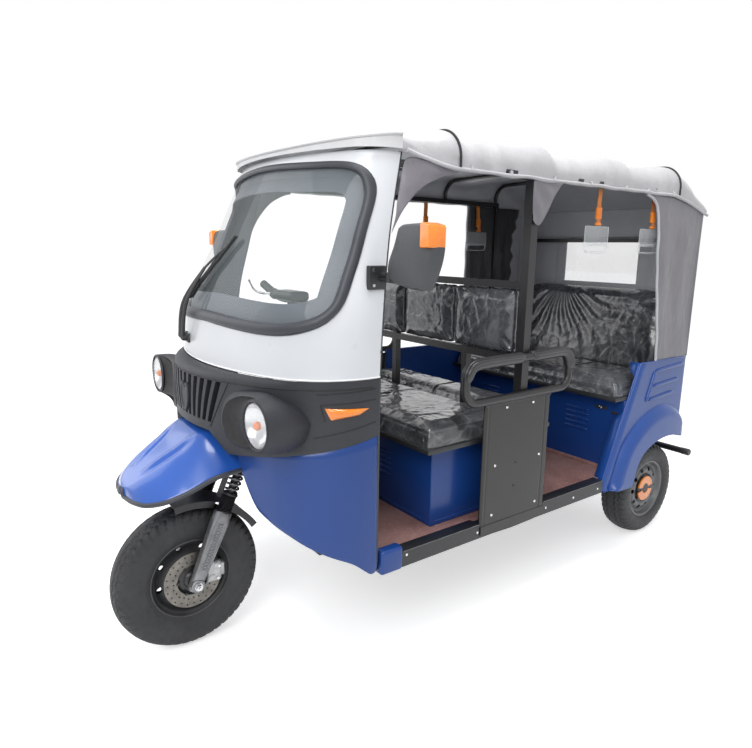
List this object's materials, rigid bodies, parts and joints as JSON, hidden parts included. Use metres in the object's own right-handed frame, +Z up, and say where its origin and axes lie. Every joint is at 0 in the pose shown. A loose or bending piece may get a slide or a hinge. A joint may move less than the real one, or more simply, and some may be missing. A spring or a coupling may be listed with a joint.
{
  "type": "auto rickshaw",
  "caption": "Open-sided passenger auto rickshaw with a steered front fork, rear bench, driver's bench, armrests and a fabric roof on hoops.",
  "frame": {"origin": "on the ground under the middle of the overall length and width", "axes": "+X to the vehicle's left, -Y forwards, +Z up"},
  "size_m": [1.66, 2.964, 1.949],
  "materials": {
    "blue_paint": "gloss",
    "white_paint": "gloss",
    "black_plastic": "satin",
    "black_steel": "satin",
    "seal_rubber": "matte",
    "tyre": "matte",
    "screen": "clear",
    "lens": "clear",
    "amber": "gloss",
    "red_lens": "gloss",
    "cast_alloy": "cast",
    "steel": "satin",
    "rim_steel": "satin",
    "cast_iron": "cast",
    "canvas": "coated cloth",
    "seat_cover": "gloss wrapped",
    "floor_rubber": "matte",
    "clear_film": "clear",
    "strap": "webbing",
    "mirror_shell": "satin"
  },
  "bodies": {
    "chassis": {"front_shell_lower": "blue_paint", "headlamps": "lens", "front_band": "black_plastic", "turn_signals": "amber", "front_shell_upper": "white_paint", "screen_gasket": "seal_rubber", "windscreen": "screen", "beak_mudguard": "blue_paint", "ladder_frame": "black_steel", "floor_deck": "black_steel", "floor_mat": "floor_rubber", "engine_block": "cast_iron", "sill_left": "black_steel", "sill_right": "black_steel", "toe_board": "black_plastic", "sill_feet": "blue_paint", "rear_axle": "black_steel", "leaf_springs": "steel", "rear_bumper": "black_steel", "middle_box": "blue_paint", "driver_cushion": "seat_cover", "facing_cushion": "seat_cover", "backrest_frame": "black_steel", "backrest_pads": "seat_cover", "rear_seat_box": "blue_paint", "rear_cushion": "seat_cover", "rear_backrest": "seat_cover", "rear_quarter_left": "blue_paint", "rear_quarter_right": "blue_paint", "tail_panel": "blue_paint", "tail_lamps": "red_lens", "side_wall_right": "blue_paint", "centre_panels": "black_steel", "pillars": "black_steel", "armrest_left": "black_steel", "armrest_right": "black_steel", "roof_rails": "black_steel", "roof_hoops": "black_steel", "rear_frame": "black_steel", "roof_cover": "canvas", "rear_curtain": "canvas", "rear_window": "clear_film", "gussets": "canvas", "mirror_left": "mirror_shell", "mirror_right": "mirror_shell", "wiper": "black_plastic", "hand_straps": "strap"},
    "fork": {"fork_legs": "cast_alloy", "fork_springs": "black_steel", "fork_yokes": "black_steel", "handlebar": "black_steel", "inner_mudguard": "black_plastic", "brake_caliper": "cast_alloy"},
    "front_wheel": {"front_rim": "rim_steel", "front_tyre": "tyre"},
    "rear_wheel_left": {"rear_rim_left": "rim_steel", "rear_tyre_left": "tyre"},
    "rear_wheel_right": {"rear_rim_right": "rim_steel", "rear_tyre_right": "tyre"}
  },
  "joints": [
    {"name": "steer", "type": "hinge", "parent": "chassis", "child": "fork", "pos_m": [0, -0.92108, 0.80764], "axis": [0, 0.4067, 0.9135], "range_deg": [-38, 38]},
    {"name": "front_spin", "type": "hinge", "parent": "fork", "child": "front_wheel", "pos_m": [0, -1.198, 0.284], "axis": [1, 0, 0], "continuous": true},
    {"name": "rear_spin_left", "type": "hinge", "parent": "chassis", "child": "rear_wheel_left", "pos_m": [0.4545, 1.202, 0.254], "axis": [1, 0, 0], "continuous": true},
    {"name": "rear_spin_right", "type": "hinge", "parent": "chassis", "child": "rear_wheel_right", "pos_m": [-0.4545, 1.202, 0.254], "axis": [1, 0, 0], "continuous": true}
  ]
}
